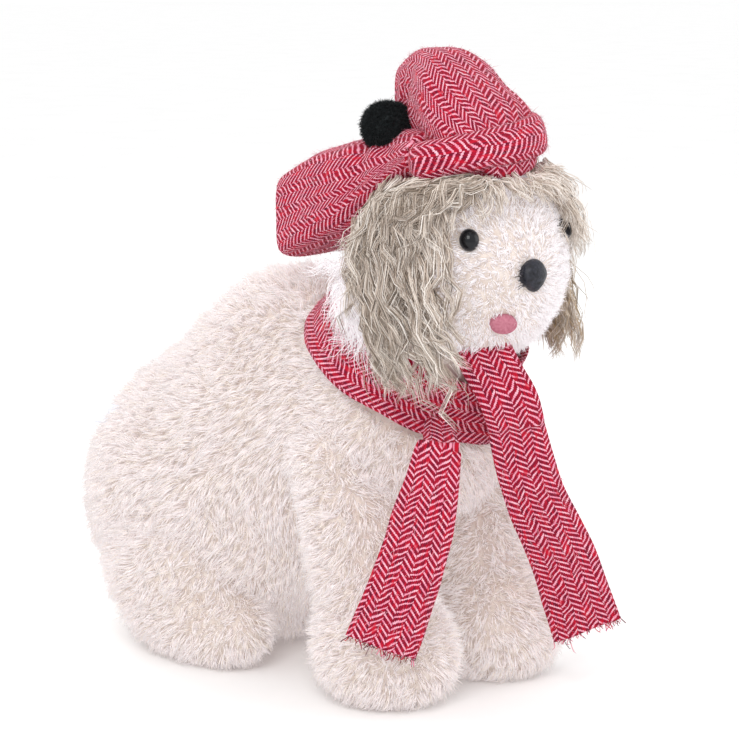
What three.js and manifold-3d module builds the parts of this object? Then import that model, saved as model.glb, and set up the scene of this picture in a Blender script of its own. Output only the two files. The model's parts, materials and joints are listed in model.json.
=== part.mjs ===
// Plush dog in a herringbone beret and scarf, built as its sewn and stuffed pieces.
// Millimetres, +Z up. The dog faces -Y, so its right side is -X. The origin lies on
// the ground under the middle of its outer box.
import * as THREE from 'three';
import { mergeVertices } from 'three/addons/utils/BufferGeometryUtils.js';
import Module from 'manifold-3d';

const wasm = await Module();
wasm.setup();

// ---------------------------------------------------------------- driving dimensions
const RIGHT = -1;
const LEFT = 1;
const TOUCH = 0.4; // gap between two pieces that lie against each other
const RUNNING = 0.8; // gap between two pieces that move past each other
const PLUSH = 1.6; // thickness of the plush backing
const WOVEN = 1.8; // thickness of the herringbone cloth

const HEAD = new THREE.Vector3(0, -46, 196); // centre of the head ball
const HEAD_R = 45;
const NECK_LEAN = THREE.MathUtils.degToRad(32); // how far the neck leans forwards
const GUSSET = 1.8; // thickness of the neck gusset
const CORE_R = 17; // radius of the neck's stuffing core
const CORE_LENGTH = 16;

const LOOP_R = 44.6; // inside radius of the scarf round the neck
const LOOP_THICK = 5.4; // two plies of scarf with air between them
const LOOP_TOP = -29; // heights along the neck axis, from the head centre
const LOOP_BOTTOM = -58;
const SCARF_WIDTH = 32;

const SHOULDER = new THREE.Vector3(32, -6, 104); // front leg pivot, left side
const LEG_R = 23;
const LEG_PLAY = 2.6; // gap round a front leg, so that it can bend at the shoulder
const PAW = new THREE.Vector3(33, -33, 24);
const FOOT = new THREE.Vector3(52, 75, 18);
const TAIL_PIVOT = new THREE.Vector3(0, 175, 62);
const TAIL_TIP = new THREE.Vector3(0, 189, 78);
const TAIL_R = 9;
const TAIL_PLAY = 1.6; // gap round the tail's root, so that it can wag

const CAP_TILT = THREE.MathUtils.degToRad(27); // the beret leans back
const CAP_SEAT = HEAD_R + 3.5; // the beret sits on the hair of the crown
const POM_R = 12.5;
const LEFT_EAR_BACK = 10; // the left ear is sewn on further back than the right one
const EYE_R = 4.8;
const SHANK_R = 1.5;
const WASHER_R = 6;

// ---------------------------------------------------------------- directions
const along = (x, y, z) => new THREE.Vector3(x, y, z).normalize();
const NECK_AXIS = along(0, -Math.sin(NECK_LEAN), Math.cos(NECK_LEAN));
const CAP_AXIS = along(0, Math.sin(CAP_TILT), Math.cos(CAP_TILT));

// ---------------------------------------------------------------- soft shape fields
// A field gives the distance to a shape's surface, negative inside it.
function egg(centre, radii, tilt = 0) {
  const c = Math.cos(tilt);
  const s = Math.sin(tilt);
  return (p) => {
    const dy = p.y - centre.y;
    const dz = p.z - centre.z;
    const q = [p.x - centre.x, c * dy + s * dz, c * dz - s * dy];
    const k0 = Math.hypot(q[0] / radii[0], q[1] / radii[1], q[2] / radii[2]);
    const k1 = Math.hypot(q[0] / radii[0] ** 2, q[1] / radii[1] ** 2, q[2] / radii[2] ** 2);
    return k1 < 1e-9 ? -Math.min(...radii) : (k0 * (k0 - 1)) / k1;
  };
}

function limb(from, to, fromR, toR) {
  const axis = to.clone().sub(from);
  return (p) => {
    const t = THREE.MathUtils.clamp(p.clone().sub(from).dot(axis) / axis.lengthSq(), 0, 1);
    const nearest = from.clone().addScaledVector(axis, t);
    return p.distanceTo(nearest) - THREE.MathUtils.lerp(fromR, toR, t);
  };
}

// Joins fields with a fillet of about the size "soft".
function blend(soft, ...fields) {
  return (p) => fields.map((field) => field(p)).reduce((a, b) => {
    const h = THREE.MathUtils.clamp(0.5 + (0.5 * (b - a)) / soft, 0, 1);
    return THREE.MathUtils.lerp(b, a, h) - soft * h * (1 - h);
  });
}

// ---------------------------------------------------------------- solids
function toSolid(geometry) {
  const bare = geometry.clone();
  bare.deleteAttribute('normal');
  bare.deleteAttribute('uv');
  const welded = mergeVertices(bare, 1e-4);
  const corners = Array.from(welded.index.array);
  const faces = [];
  for (let i = 0; i < corners.length; i += 3) {
    const [a, b, c] = corners.slice(i, i + 3);
    if (a !== b && b !== c && c !== a) faces.push(a, b, c);
  }
  const build = (order) => new wasm.Manifold(new wasm.Mesh({
    numProp: 3,
    vertProperties: new Float32Array(welded.attributes.position.array),
    triVerts: new Uint32Array(order),
  }));
  const solid = build(faces);
  return solid.volume() > 0 ? solid : build(faces.reverse());
}

// The surface where a field, shrunk by "inset", is met along rays from its heart.
function star(field, heart, inset, detail) {
  const rays = new THREE.IcosahedronGeometry(1, detail);
  rays.deleteAttribute('normal');
  rays.deleteAttribute('uv');
  const geometry = mergeVertices(rays, 1e-4);
  const position = geometry.attributes.position;
  const point = new THREE.Vector3();
  const ray = new THREE.Vector3();
  const depth = (t) => field(point.copy(heart).addScaledVector(ray, t)) + inset;
  for (let i = 0; i < position.count; i += 1) {
    ray.fromBufferAttribute(position, i).normalize();
    let near = 0;
    let far = 2;
    while (depth(far) < 0) {
      near = far;
      far += 2;
    }
    for (let step = 0; step < 24; step += 1) {
      const middle = (near + far) / 2;
      if (depth(middle) < 0) near = middle;
      else far = middle;
    }
    position.setXYZ(i, heart.x + ray.x * near, heart.y + ray.y * near, heart.z + ray.z * near);
  }
  return toSolid(geometry);
}

function ball(centre, radius, detail = 4) {
  return toSolid(new THREE.IcosahedronGeometry(radius, detail).translate(...centre.toArray()));
}

// A profile of [radius, height] pairs turned about an axis through "base".
function turned(profile, base, axis, segments) {
  const points = profile.map(([radius, height]) => new THREE.Vector2(radius, height));
  const geometry = new THREE.LatheGeometry(points, segments);
  geometry.applyQuaternion(new THREE.Quaternion().setFromUnitVectors(new THREE.Vector3(0, 1, 0), axis));
  return toSolid(geometry.translate(...base.toArray()));
}

function rod(base, axis, radius, low, high, segments = 16) {
  return turned([[0, low], [radius, low], [radius, high], [0, high]], base, axis, segments);
}

// Everything above the ground, to cut the soles flat.
const ABOVE_GROUND = toSolid(new THREE.BoxGeometry(600, 600, 400).translate(0, 0, 200));

// A shell of cloth: the outer solid less the inner one, opened by "slit".
const shell = (outer, inner, slit) => outer.subtract(inner).subtract(slit);

// A strip of cloth bent along a curve, its width turning from one direction to another.
function strip(points, widthStart, widthEnd, startWidth, endWidth, steps) {
  const curve = new THREE.CatmullRomCurve3(points);
  const geometry = new THREE.BoxGeometry(1, WOVEN, 1, 2, 1, steps);
  const position = geometry.attributes.position;
  for (let i = 0; i < position.count; i += 1) {
    const t = THREE.MathUtils.clamp(position.getZ(i) + 0.5, 0, 1);
    const tangent = curve.getTangent(t);
    const across = widthStart.clone().lerp(widthEnd, t).normalize();
    across.addScaledVector(tangent, -across.dot(tangent)).normalize();
    const out = tangent.clone().cross(across);
    const width = THREE.MathUtils.lerp(startWidth, endWidth, t);
    const point = curve.getPoint(t)
      .addScaledVector(across, position.getX(i) * width)
      .addScaledVector(out, position.getY(i));
    position.setXYZ(i, point.x, point.y, point.z);
  }
  return toSolid(geometry);
}

// ---------------------------------------------------------------- the scene graph
const dog = new THREE.Group();

function add(name, solid, color, roughness, metalness = 0) {
  const { vertProperties, triVerts } = solid.getMesh();
  const geometry = new THREE.BufferGeometry();
  geometry.setAttribute('position', new THREE.BufferAttribute(new Float32Array(vertProperties), 3));
  geometry.setIndex(new THREE.BufferAttribute(new Uint32Array(triVerts), 1));
  geometry.computeVertexNormals();
  const mesh = new THREE.Mesh(geometry, new THREE.MeshStandardMaterial({ color, roughness, metalness }));
  mesh.name = name;
  dog.add(mesh);
}

const WHITE_PLUSH = '#f4ebe6';
const STUFFING = '#fbfbf8';
const GREY_HAIR = '#b3a897';
const HERRINGBONE = '#b3213f';

// ---------------------------------------------------------------- torso
const torsoField = blend(
  26,
  egg(new THREE.Vector3(0, 98, 75), [73, 76, 69]),
  egg(new THREE.Vector3(0, 54, 112), [60, 66, 70], -0.5),
  egg(new THREE.Vector3(0, -14, 122), [45, 42, 46]),
);
const TORSO_HEART = new THREE.Vector3(0, 50, 100);
const TORSO_DETAIL = 4;
const legPivot = (side) => SHOULDER.clone().setX(side * SHOULDER.x);
const legPaw = (side) => PAW.clone().setX(side * PAW.x);
const legHeart = (side) => legPivot(side).lerp(legPaw(side), 0.55);
const frontLegField = (side) => blend(
  10,
  limb(legPivot(side), legPaw(side), LEG_R, LEG_R - 1),
  egg(legPaw(side).setZ(PAW.z - 2), [27, 31, 24.5]),
);

const tailField = limb(TAIL_PIVOT, TAIL_TIP, TAIL_R, TAIL_R - 1);
const TAIL_HEART = TAIL_PIVOT.clone().lerp(TAIL_TIP, 0.5);

// The torso with its seats for the head, the scarf, the front legs and the tail.
function torsoSolid(inset) {
  const loopSeat = [
    [LOOP_R - TOUCH - inset, LOOP_BOTTOM - TOUCH - inset],
    [LOOP_R + LOOP_THICK + 22, LOOP_BOTTOM - TOUCH - inset],
    [LOOP_R + LOOP_THICK + 22, 40],
    [LOOP_R - TOUCH - inset, 40],
    [LOOP_R - TOUCH - inset, LOOP_BOTTOM - TOUCH - inset],
  ];
  const collar = HEAD_R + GUSSET + TOUCH + RUNNING + inset;
  let solid = star(torsoField, TORSO_HEART, inset, TORSO_DETAIL)
    .subtract(ball(HEAD, collar, 4))
    .subtract(turned(loopSeat, HEAD, NECK_AXIS, 32));
  for (const side of [RIGHT, LEFT]) {
    solid = solid.subtract(star(frontLegField(side), legHeart(side), -LEG_PLAY - inset, 3));
  }
  return solid.subtract(star(tailField, TAIL_HEART, -TAIL_PLAY - inset, 2));
}

const neckBase = HEAD_R + GUSSET + TOUCH;
const neckSocket = (inset) => rod(HEAD, NECK_AXIS, CORE_R + RUNNING + inset,
  -neckBase - CORE_LENGTH - RUNNING - inset, -20, 24);
add('torso_skin', shell(torsoSolid(0), torsoSolid(PLUSH), neckSocket(TOUCH)), WHITE_PLUSH, 0.95);
add('torso_stuffing', torsoSolid(PLUSH + TOUCH).subtract(neckSocket(0)), STUFFING, 1);

// ---------------------------------------------------------------- neck
// A cup of cloth under the head, on a core of stuffing that turns in the torso.
const cupEdge = THREE.MathUtils.degToRad(50);
const cupArc = (radius, from, to, steps) => Array.from({ length: steps + 1 }, (_, i) => {
  const angle = THREE.MathUtils.lerp(from, to, i / steps);
  return [radius * Math.sin(angle), -radius * Math.cos(angle)];
});
const coreEdge = Math.asin((CORE_R + TOUCH) / (HEAD_R + TOUCH));
const gussetProfile = [
  ...cupArc(HEAD_R + TOUCH, cupEdge, coreEdge, 4),
  ...cupArc(HEAD_R + TOUCH + GUSSET, coreEdge, cupEdge, 4),
];
gussetProfile.push(gussetProfile[0]);
add('neck_gusset', turned(gussetProfile, HEAD, NECK_AXIS, 24), WHITE_PLUSH, 0.95);
add('neck_core', rod(HEAD, NECK_AXIS, CORE_R - TOUCH, -neckBase - CORE_LENGTH, -20, 20)
  .subtract(ball(HEAD, HEAD_R + TOUCH)), STUFFING, 1);

// ---------------------------------------------------------------- head
const fromHead = (x, y, z) => HEAD.clone().add(new THREE.Vector3(x, y, z));
const MUZZLE = fromHead(0, -30.5, -4);
const headField = blend(10, egg(HEAD, [HEAD_R, HEAD_R, HEAD_R]), egg(MUZZLE, [18, 14, 13]));
const headSolid = (inset) => star(headField, HEAD, inset, 3);

// Eyes and nose are buttons on shanks, each held by a washer behind the skin.
function surfacePoint(direction, lift) {
  let reach = HEAD_R - 10;
  while (headField(HEAD.clone().addScaledVector(direction, reach)) < lift) reach += 0.1;
  return HEAD.clone().addScaledVector(direction, reach);
}
const EYE_WAY = (side) => along(side * 29, -35, 15);
const NOSE_WAY = along(0, -46, -1);
const SHANK_DEPTH = 10;
const WASHER_TOP = -PLUSH - 2.6;
const WASHER_THICK = 1.5;

function button(base, way, dome) {
  const shank = [[0, -SHANK_DEPTH], [SHANK_R, -SHANK_DEPTH], [SHANK_R, TOUCH]];
  return turned([...shank, ...dome], base, way, 12);
}
const shankHole = (base, way) => rod(base, way, SHANK_R + TOUCH, -SHANK_DEPTH - TOUCH, 4);
const washerPocket = (base, way) => rod(base, way, WASHER_R + TOUCH,
  WASHER_TOP - WASHER_THICK - TOUCH, WASHER_TOP + TOUCH + 2);
const washer = (base, way) => turned([
  [SHANK_R + TOUCH, WASHER_TOP - WASHER_THICK],
  [WASHER_R, WASHER_TOP - WASHER_THICK],
  [WASHER_R, WASHER_TOP],
  [SHANK_R + TOUCH, WASHER_TOP],
  [SHANK_R + TOUCH, WASHER_TOP - WASHER_THICK],
], base, way, 12);

const eyeDome = Array.from({ length: 5 }, (_, i) => {
  const angle = (i / 4) * (Math.PI * 0.5);
  return [EYE_R * Math.cos(angle), 1.4 + TOUCH + EYE_R * Math.sin(angle)];
});
eyeDome.unshift([EYE_R * 0.82, TOUCH]);
eyeDome[eyeDome.length - 1][0] = 0;
const noseDome = [[5.4, TOUCH], [6.6, 1.4 + TOUCH], [5.9, 3 + TOUCH], [3.4, 4.2 + TOUCH], [0, 4.6 + TOUCH]];

const buttons = [
  {
    name: 'nose',
    washer: 'nose_washer',
    way: NOSE_WAY,
    dome: noseDome,
    color: '#15131a',
    roughness: 0.85,
  },
];
for (const [tag, side] of [['R', RIGHT], ['L', LEFT]]) {
  buttons.push({
    name: `eye_${tag}`,
    washer: `eye_washer_${tag}`,
    way: EYE_WAY(side),
    dome: eyeDome,
    color: '#0b0c12',
    roughness: 0.12,
  });
}

const neckSlit = rod(HEAD, NECK_AXIS, CORE_R - 3, -HEAD_R - 5, -20, 20);
let headSkin = shell(headSolid(0), headSolid(PLUSH), neckSlit);
let headStuffing = headSolid(PLUSH + TOUCH);
for (const item of buttons) {
  const base = surfacePoint(item.way, 0);
  add(item.name, button(base, item.way, item.dome), item.color, item.roughness);
  add(item.washer, washer(base, item.way), '#e9e9ea', 0.5);
  headSkin = headSkin.subtract(shankHole(base, item.way));
  headStuffing = headStuffing.subtract(shankHole(base, item.way)).subtract(washerPocket(base, item.way));
}
add('head_skin', headSkin, WHITE_PLUSH, 0.95);
add('head_stuffing', headStuffing, STUFFING, 1);

// A felt tongue sewn on the chin, a little to the dog's right.
const TONGUE_WAY = along(-11, -35, -20);
const tongueDisc = turned([[0, -8], [6, -8], [6, 12], [0, 12]], surfacePoint(TONGUE_WAY, 0), TONGUE_WAY, 20);
add('tongue', star(headField, HEAD, -TOUCH - 2.8, 4).subtract(star(headField, HEAD, -TOUCH - 0.4, 4))
  .intersect(tongueDisc), '#cb6d86', 0.95);

// The long-haired strip sewn along the forehead, under the beret.
const fringeBand = turned([[24, 14], [56, 14], [56, 25], [24, 25], [24, 14]], HEAD, CAP_AXIS, 32);
const fringeFront = toSolid(new THREE.BoxGeometry(120, 60, 120).translate(0, HEAD.y - 44, HEAD.z));
add('forehead_hair', star(headField, HEAD, -TOUCH - 3, 4).subtract(star(headField, HEAD, -TOUCH - 0.4, 4))
  .intersect(fringeBand).intersect(fringeFront), GREY_HAIR, 0.9);

// ---------------------------------------------------------------- ears
// A flap of long hair that hangs from the side of the crown.
function ear(side, back) {
  const top = fromHead(side * 44, back - 6, 27);
  const bottom = fromHead(side * 54, back - 14, -42);
  const middle = top.clone().lerp(bottom, 0.5).add(new THREE.Vector3(side * 3.5, 0, 0));
  const down = bottom.clone().sub(top).normalize();
  const fore = along(side * 0.12, -0.99, 0);
  fore.addScaledVector(down, -fore.dot(down)).normalize();
  const out = down.clone().cross(fore).normalize();
  const frame = new THREE.Matrix4().makeBasis(
    fore.clone().multiplyScalar(22),
    down.clone().multiplyScalar(top.distanceTo(bottom) / 2 + 3),
    out.clone().multiplyScalar(5.5),
  ).setPosition(middle);
  return toSolid(new THREE.IcosahedronGeometry(1, 2).applyMatrix4(frame));
}
add('ear_R', ear(RIGHT, 0), GREY_HAIR, 0.9);
add('ear_L', ear(LEFT, LEFT_EAR_BACK), GREY_HAIR, 0.9);

// ---------------------------------------------------------------- beret
// A disc over the crown of the head, puffed into a lobe in front and one behind.
const frontLobe = blend(
  20,
  egg(new THREE.Vector3(0, -31, 267), [29, 20, 20]),
  egg(new THREE.Vector3(0, -61, 256), [32, 20, 18], 0.4),
);
const rearLobe = blend(
  10,
  egg(new THREE.Vector3(0, 30, 217), [38, 28, 20], -0.7),
  egg(new THREE.Vector3(0, -4, 240), [32, 26, 14], -0.5),
);
const FRONT_HEART = new THREE.Vector3(0, -46, 262);
const REAR_HEART = new THREE.Vector3(0, 12, 231);
const CROWN_HEART = HEAD.clone().addScaledVector(CAP_AXIS, 42);
const crownDisc = egg(CROWN_HEART, [43, 43, 15], -CAP_TILT);
const capSolid = (inset) => star(frontLobe, FRONT_HEART, inset, 3)
  .add(star(rearLobe, REAR_HEART, inset, 3))
  .add(star(crownDisc, CROWN_HEART, inset, 3))
  .subtract(ball(HEAD, CAP_SEAT + inset, 3));
const headOpening = turned([[0, 0], [34, 0], [34, CAP_SEAT + 1], [0, CAP_SEAT + 4]], HEAD, CAP_AXIS, 28);
const POM = new THREE.Vector3(-13, -7, 254);
const pomSeat = (gap) => ball(POM, POM_R + gap, 2);
const POM_WAY = POM.clone().sub(HEAD).normalize();
const stitchTop = POM.distanceTo(HEAD) - POM_R + 3;
const pomStitch = (radius, gap) => rod(HEAD, POM_WAY, radius, CAP_SEAT - 2 - gap, stitchTop + gap, 10);
const pomHole = pomStitch(1.2, TOUCH);
add('beret_crown', shell(capSolid(0), capSolid(WOVEN), headOpening)
  .subtract(pomSeat(TOUCH)).subtract(pomHole), HERRINGBONE, 0.9);
add('beret_wadding', capSolid(WOVEN + TOUCH).subtract(pomSeat(TOUCH)).subtract(pomHole), STUFFING, 1);
add('pom_pom', ball(POM, POM_R, 2).subtract(pomHole), '#0d1418', 0.98);
add('pom_pom_stitch', pomStitch(0.8, 0), '#15181c', 0.9);

// The beret's head band, turned under against the hair of the crown.
const bandProfile = [
  ...cupArc(HEAD_R + TOUCH + 0.2, Math.PI - 0.72, Math.PI - 0.98, 2),
  ...cupArc(CAP_SEAT - TOUCH - 0.8, Math.PI - 0.98, Math.PI - 0.72, 2),
];
bandProfile.push(bandProfile[0]);
const beretBand = turned(bandProfile, HEAD, CAP_AXIS, 32);
add('beret_band', beretBand, HERRINGBONE, 0.9);

// ---------------------------------------------------------------- scarf
const loopProfile = [
  [LOOP_R, LOOP_BOTTOM + 3],
  [LOOP_R + 2.5, LOOP_BOTTOM],
  [LOOP_R + LOOP_THICK, LOOP_BOTTOM + 5],
  [LOOP_R + LOOP_THICK, LOOP_TOP - 5],
  [LOOP_R + 2.5, LOOP_TOP],
  [LOOP_R, LOOP_TOP - 3],
  [LOOP_R, LOOP_BOTTOM + 3],
];
add('scarf_loop', turned(loopProfile, HEAD, NECK_AXIS, 32), HERRINGBONE, 0.9);

// Where each end of the scarf is tucked over the loop, and how it hangs from there.
function scarfEnd(tag, over, hang, startAcross, endAcross, foldWidth) {
  const fold = strip(over, startAcross, startAcross, foldWidth, foldWidth + 2, 8);
  const tail = strip(hang, startAcross, endAcross, foldWidth + 3, SCARF_WIDTH, 10);
  add(`scarf_fold_${tag}`, fold, HERRINGBONE, 0.9);
  add(`scarf_tail_${tag}`, tail, HERRINGBONE, 0.9);
}
const at = (x, y, z) => new THREE.Vector3(x, y, z);
scarfEnd('L',
  [at(-11, -76, 157), at(-11, -82, 152), at(-8, -85, 138), at(-2, -84, 124)],
  [at(-1.4, -83.9, 122.6), at(8, -85, 96), at(24, -88, 64), at(37, -91, 30)],
  along(0.86, -0.5, 0.1), along(0.75, -0.58, 0.34), 26);
scarfEnd('R',
  [at(-30, -79, 146), at(-36, -80, 138), at(-39, -78, 130), at(-41, -76, 122)],
  [at(-41.6, -75.6, 120.6), at(-49, -76, 96), at(-58, -73, 66), at(-66, -66, 37)],
  along(0.8, -0.6, 0.05), along(0.72, -0.66, 0.22), 20);

// ---------------------------------------------------------------- front legs
function frontLegSolid(side, inset) {
  return star(frontLegField(side), legHeart(side), inset, 3).intersect(ABOVE_GROUND.translate([0, 0, inset]));
}
for (const [tag, side] of [['R', RIGHT], ['L', LEFT]]) {
  const slit = rod(legPivot(side), along(0, 0, 1), 7, 0, LEG_R + 5, 12);
  add(`front_leg_${tag}`, shell(frontLegSolid(side, 0), frontLegSolid(side, PLUSH), slit), WHITE_PLUSH, 0.95);
  add(`front_leg_stuffing_${tag}`, frontLegSolid(side, PLUSH + TOUCH), STUFFING, 1);
}

// ---------------------------------------------------------------- hind legs
function hindLegSolid(side, inset) {
  const foot = FOOT.clone().setX(side * FOOT.x);
  const haunch = at(side * 54, 92, 44);
  const field = blend(12, egg(foot, [21, 41, 20]), egg(haunch, [26, 40, 34]));
  return star(field, at(side * 60, 82, 26), inset, 2)
    .subtract(star(torsoField, TORSO_HEART, -TOUCH - inset, TORSO_DETAIL))
    .intersect(ABOVE_GROUND.translate([0, 0, inset]));
}
for (const [tag, side] of [['R', RIGHT], ['L', LEFT]]) {
  const slit = rod(at(side * 68, 84, 28), along(-side, 0, 0.3), 7, 0, 60, 12);
  add(`hind_leg_${tag}`, shell(hindLegSolid(side, 0), hindLegSolid(side, PLUSH), slit), WHITE_PLUSH, 0.95);
  add(`hind_leg_stuffing_${tag}`, hindLegSolid(side, PLUSH + TOUCH), STUFFING, 1);
}

// ---------------------------------------------------------------- tail and label
add('tail', star(tailField, TAIL_HEART, 0, 2), WHITE_PLUSH, 0.95);

// A blank sewn label that stands out of the side seam.
const LABEL = { width: 10, length: 13, thick: 0.6 };
const labelWay = along(-46, 72, 6);
let labelReach = 20;
while (torsoField(TORSO_HEART.clone().addScaledVector(labelWay, labelReach)) < 1.4) labelReach += 0.2;
const labelGeometry = new THREE.BoxGeometry(LABEL.thick, LABEL.length, LABEL.width)
  .applyQuaternion(new THREE.Quaternion().setFromUnitVectors(at(0, 1, 0), labelWay))
  .translate(...TORSO_HEART.clone().addScaledVector(labelWay, labelReach + LABEL.length / 2).toArray());
add('sewn_label', toSolid(labelGeometry), '#f2f2f4', 0.6);

// The origin is on the ground, under the middle of the dog's length.
const box = new THREE.Box3().setFromObject(dog);
dog.position.y = -(box.min.y + box.max.y) / 2;

export default dog;
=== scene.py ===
"""A white plush dog in a herringbone beret and scarf.

Lengths are in millimetres until a mesh is made. +Z is up, the dog faces -Y, and its
right side is -X. The head's centre and the other fixed points come from the frame.
"""

import json
import math

import bmesh
import bpy
import numpy as np
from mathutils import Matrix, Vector, kdtree


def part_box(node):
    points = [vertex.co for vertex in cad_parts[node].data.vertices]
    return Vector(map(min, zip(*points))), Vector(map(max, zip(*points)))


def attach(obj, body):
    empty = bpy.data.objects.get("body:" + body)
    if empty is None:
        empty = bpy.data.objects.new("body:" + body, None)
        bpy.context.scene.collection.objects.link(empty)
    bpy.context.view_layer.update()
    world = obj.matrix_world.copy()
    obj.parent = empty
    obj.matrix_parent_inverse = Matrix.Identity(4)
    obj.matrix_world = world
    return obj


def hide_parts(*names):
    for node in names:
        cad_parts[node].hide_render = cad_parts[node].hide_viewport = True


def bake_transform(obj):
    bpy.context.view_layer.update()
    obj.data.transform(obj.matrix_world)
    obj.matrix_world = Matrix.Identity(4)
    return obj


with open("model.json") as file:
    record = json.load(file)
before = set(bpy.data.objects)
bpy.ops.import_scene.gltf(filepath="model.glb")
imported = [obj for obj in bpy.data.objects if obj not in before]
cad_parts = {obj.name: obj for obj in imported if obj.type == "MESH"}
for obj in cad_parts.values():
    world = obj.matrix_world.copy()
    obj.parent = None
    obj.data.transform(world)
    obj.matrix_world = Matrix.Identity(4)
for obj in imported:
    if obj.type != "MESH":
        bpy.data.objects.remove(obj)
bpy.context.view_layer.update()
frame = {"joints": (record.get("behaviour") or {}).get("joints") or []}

MM = 0.001
RIGHT, LEFT = -1, 1
SIDES = (("R", RIGHT), ("L", LEFT))
FULLNESS = 1.0  # share of the strands that is drawn
STRAND_R = 0.27 * 1  # base radius of a strand
STRAND_FLOOR = 0.4  # least height of a strand's centre line
SKIN_FLOOR = 0.05  # least height of its surface
STAR_REACH = 220.0  # longest ray that looks for a surface
STAR_STEP = 2.0


# ---- places from the frame
def hinge(name):
    """The point that a joint turns about."""
    joint = next(j for j in frame["joints"] if j["name"] == name)
    return np.array(joint["pos_m"], float) / MM


def centre(node):
    low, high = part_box(node)
    return np.array((low + high) / 2, float) / MM


def size(node):
    low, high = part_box(node)
    return np.array(high - low, float) / MM


HEAD = hinge("neck_turn")
HEAD_R = 45.0
NECK_AXIS = np.array(next(j for j in frame["joints"] if j["name"] == "neck_turn")["axis"], float)


def from_head(*xyz):
    return HEAD + np.array(xyz, float)


# ---- small vector tools
def unit(v):
    v = np.asarray(v, float)
    return v / np.maximum(np.linalg.norm(v, axis=-1, keepdims=True), 1e-9)


def smooth(t):
    t = np.clip(t, 0, 1)
    return t * t * (3 - 2 * t)


def catmull(points, t):
    """Points on the smooth curve through "points", at shares t of its way."""
    points = np.asarray(points, float)
    last = len(points) - 1
    x = np.clip(np.asarray(t, float), 0, 1) * last
    i = np.minimum(x.astype(int), last - 1)
    f = (x - i)[..., None]
    a, b, c, d = (points[np.clip(i + k, 0, last)] for k in (-1, 0, 1, 2))
    return 0.5 * (
        2 * b + (c - a) * f + (2 * a - 5 * b + 4 * c - d) * f**2 + (3 * b - a - 3 * c + d) * f**3
    )


def noise(p, scale, seed):
    """Smooth noise from -1 to 1, with features of about "scale" millimetres."""
    q = np.asarray(p, float) / scale + 1000
    cell = np.floor(q).astype(np.int64)
    f = smooth(q - cell)
    total = np.zeros(len(q))
    for corner in range(8):
        step = np.array([corner & 1, corner >> 1 & 1, corner >> 2])
        h = ((cell + step) * np.array([73856093, 19349663, 83492791])).sum(1) + seed * 9176
        h = (h ^ (h >> 13)) * 1274126177 & 0x7FFFFFFF
        h = (h ^ (h >> 16)) * 60493 & 0x7FFFFFFF
        weight = np.where(step, f, 1 - f).prod(1)
        total += weight * (h / 0x3FFFFFFF - 1)
    return total


def noise_vector(p, scale, seed):
    return np.stack([noise(p, scale, seed + k) for k in range(3)], 1)


def signed_power(value, power):
    return np.sign(value) * np.abs(value) ** power


def beside(line, side, reach, other, other_reach):
    """Points off a line, so far along each of two directions."""
    return line + side * reach[..., None] + other * other_reach[..., None]


# ---- soft shape fields
def egg(centre_at, radii, tilt=0.0):
    c, s = math.cos(tilt), math.sin(tilt)
    turn = np.array([[1, 0, 0], [0, c, s], [0, -s, c]])
    radii = np.array(radii, float)

    def field(p):
        q = (p - centre_at) @ turn.T
        k0 = np.linalg.norm(q / radii, axis=1)
        k1 = np.linalg.norm(q / radii**2, axis=1)
        return k0 * (k0 - 1) / np.maximum(k1, 1e-9)

    return field


def limb(start, end, start_r, end_r):
    axis = end - start

    def field(p):
        t = np.clip((p - start) @ axis / (axis @ axis), 0, 1)
        nearest = start + t[:, None] * axis
        return np.linalg.norm(p - nearest, axis=1) - (start_r + (end_r - start_r) * t)

    return field


def blended(soft, *fields):
    def field(p):
        total = fields[0](p)
        for other in fields[1:]:
            value = other(p)
            h = np.clip(0.5 + 0.5 * (value - total) / soft, 0, 1)
            total = value + (total - value) * h - soft * h * (1 - h)
        return total

    return field


# ---- meshes
def make(name, points, faces, materials, body, shade=None, hides=()):
    """A mesh object from points in millimetres and faces that all have the same number of corners.

    It rides the body, stands for the CAD nodes that it hides, and takes its finish from the slot.
    """
    mesh = bpy.data.meshes.new(name)
    faces = np.asarray(faces)
    mesh.vertices.add(len(points))
    mesh.vertices.foreach_set("co", (np.asarray(points) * MM).astype(np.float32).ravel())
    mesh.loops.add(faces.size)
    mesh.loops.foreach_set("vertex_index", faces.ravel().astype(np.int32))
    mesh.polygons.add(len(faces))
    mesh.polygons.foreach_set("loop_start", np.arange(len(faces), dtype=np.int32) * faces.shape[1])
    mesh.polygons.foreach_set("use_smooth", np.full(len(faces), True))
    if shade is not None:
        mesh.polygons.foreach_set("material_index", np.asarray(shade, np.int32))
    mesh.update(calc_edges=True)
    obj = bpy.data.objects.new(name, mesh)
    bpy.context.scene.collection.objects.link(obj)
    for material in materials if isinstance(materials, (list, tuple)) else [materials]:
        mesh.materials.append(material)
    if body:
        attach(obj, body)
    if hides:
        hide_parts(*hides)
    return obj


def sphere(level):
    """Points and triangles of a finely divided ball of radius 1."""
    bm = bmesh.new()
    bmesh.ops.create_icosphere(bm, subdivisions=level, radius=1.0)
    points = np.array([v.co for v in bm.verts], float)
    faces = np.array([[v.index for v in f.verts] for f in bm.faces])
    bm.free()
    return unit(points), faces


def star(field, heart, level):
    """The surface of a field, met along rays from its heart."""
    rays, faces = sphere(level)
    far = np.full(len(rays), STAR_REACH)
    for step in np.arange(STAR_STEP, STAR_REACH, STAR_STEP):
        outside = field(heart + rays * step) > 0
        far = np.where(outside & (far > step), step, far)
    near = far - STAR_STEP
    for _ in range(16):
        middle = (near + far) / 2
        inside = field(heart + rays * middle[:, None]) < 0
        near = np.where(inside, middle, near)
        far = np.where(inside, far, middle)
    return heart + rays * near[:, None], faces


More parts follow.
